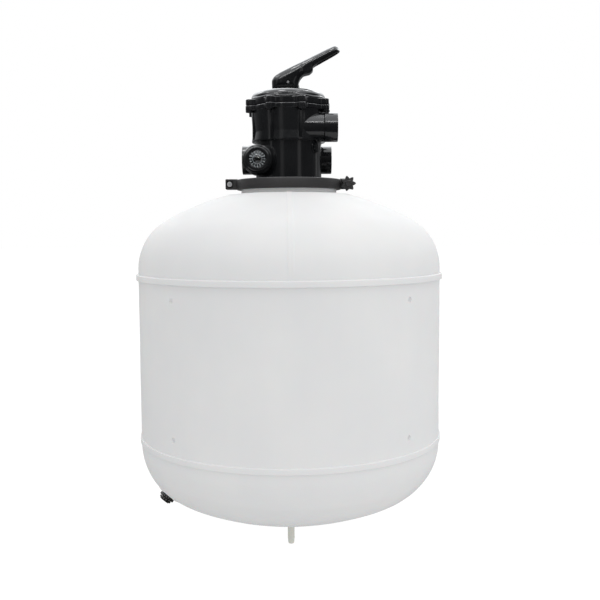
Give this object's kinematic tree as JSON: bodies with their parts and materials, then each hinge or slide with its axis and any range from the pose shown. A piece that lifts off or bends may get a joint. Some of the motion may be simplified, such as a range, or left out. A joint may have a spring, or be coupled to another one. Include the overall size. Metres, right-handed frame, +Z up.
{
  "type": "sand filter tank",
  "caption": "Domed pale plastic filter tank with a ring clamp, a black multiport valve with a lever handle, a sight glass and a low drain plug.",
  "frame": {"origin": "tip of the locating peg under the tank, on the tank's axis", "axes": "+Z up along the tank's axis; the sight glass and the clamp knob face -Y; the lever points along +X"},
  "size_m": [0.619, 0.619, 1.0255],
  "materials": {
    "tank_plastic": "satin moulded polyethylene",
    "valve_black": "glossy moulded black",
    "clamp_charcoal": "fine-textured charcoal",
    "drain_black": "moulded black",
    "inner_plastic": "moulded",
    "nylon_white": "moulded nylon",
    "bright_steel": "bright",
    "seal_rubber": "matte",
    "sight_clear": "clear moulded"
  },
  "bodies": {
    "root": {"tank_shell": "tank_plastic", "standpipe": "inner_plastic", "lateral_hub": "inner_plastic", "lateral_1": "inner_plastic", "lateral_2": "inner_plastic", "lateral_3": "inner_plastic", "lateral_4": "inner_plastic", "lateral_5": "inner_plastic", "lateral_6": "inner_plastic", "lateral_7": "inner_plastic", "lateral_8": "inner_plastic", "diffuser": "inner_plastic", "drain_fitting": "drain_black", "drain_gasket": "seal_rubber", "drain_nut": "drain_black", "drain_screen": "inner_plastic", "neck_oring": "seal_rubber", "clamp_front": "clamp_charcoal", "clamp_rear": "clamp_charcoal", "clamp_bolt_left": "bright_steel", "clamp_nut_left": "bright_steel", "clamp_bolt_right": "bright_steel", "valve_body": "valve_black", "gauge_plug": "valve_black", "sight_gasket": "seal_rubber", "sight_glass": "sight_clear", "sight_bezel": "valve_black", "valve_cover": "valve_black", "cover_oring": "seal_rubber", "cover_screw_1": "bright_steel", "cover_nut_1": "bright_steel", "cover_screw_2": "bright_steel", "cover_nut_2": "bright_steel", "cover_screw_3": "bright_steel", "cover_nut_3": "bright_steel", "cover_screw_4": "bright_steel", "cover_nut_4": "bright_steel", "cover_screw_5": "bright_steel", "cover_nut_5": "bright_steel", "cover_screw_6": "bright_steel", "cover_nut_6": "bright_steel", "cover_screw_7": "bright_steel", "cover_nut_7": "bright_steel", "cover_screw_8": "bright_steel", "cover_nut_8": "bright_steel", "spider_gasket": "seal_rubber", "thrust_washer": "nylon_white", "stem_oring": "seal_rubber"},
    "indexer": {"cam_washer": "nylon_white", "spring": "bright_steel"},
    "stem": {"rotor": "inner_plastic", "handle_pin": "bright_steel"},
    "lever": {"handle": "valve_black"},
    "knob_carrier": {"knob_washer": "bright_steel"},
    "knob": {"clamp_knob": "clamp_charcoal"},
    "cap_carrier": {"drain_cap_seal": "seal_rubber"},
    "cap": {"drain_cap": "drain_black"}
  },
  "joints": [
    {"name": "valve_turn", "type": "hinge", "parent": "root", "child": "indexer", "pos_m": [0, 0, 0.938], "axis": [0, 0, 1], "continuous": true},
    {"name": "stem_lift", "type": "slide", "parent": "indexer", "child": "stem", "axis": [0, 0, 1], "range_m": [0, 0.008], "stiffness_N_per_m": 8000, "springref_m": -0.005, "deforming": ["spring"]},
    {"name": "handle_press", "type": "hinge", "parent": "stem", "child": "lever", "pos_m": [0, 0, 0.9535], "axis": [0, 1, 0], "range_deg": [0, 28.05]},
    {"name": "knob_back_off", "type": "slide", "parent": "root", "child": "knob_carrier", "axis": [0, -1, 0], "range_m": [0, 0.006]},
    {"name": "knob_turn", "type": "hinge", "parent": "knob_carrier", "child": "knob", "pos_m": [0.1198, -0.0233, 0.7515], "axis": [0, -1, 0], "range_deg": [0, 1730]},
    {"name": "cap_back_off", "type": "slide", "parent": "root", "child": "cap_carrier", "axis": [-0.6133, -0.3261, -0.7193], "range_m": [0, 0.008]},
    {"name": "cap_turn", "type": "hinge", "parent": "cap_carrier", "child": "cap", "pos_m": [-0.24485, -0.13019, 0.13649], "axis": [-0.6133, -0.3261, -0.7193], "range_deg": [0, 1442]}
  ],
  "couplings": [
    {"joint": "handle_press", "follows": "stem_lift", "rad_per_m": 61.087},
    {"joint": "knob_turn", "follows": "knob_back_off", "rad_per_m": 5026.5},
    {"joint": "cap_turn", "follows": "cap_back_off", "rad_per_m": 3141.6}
  ]
}
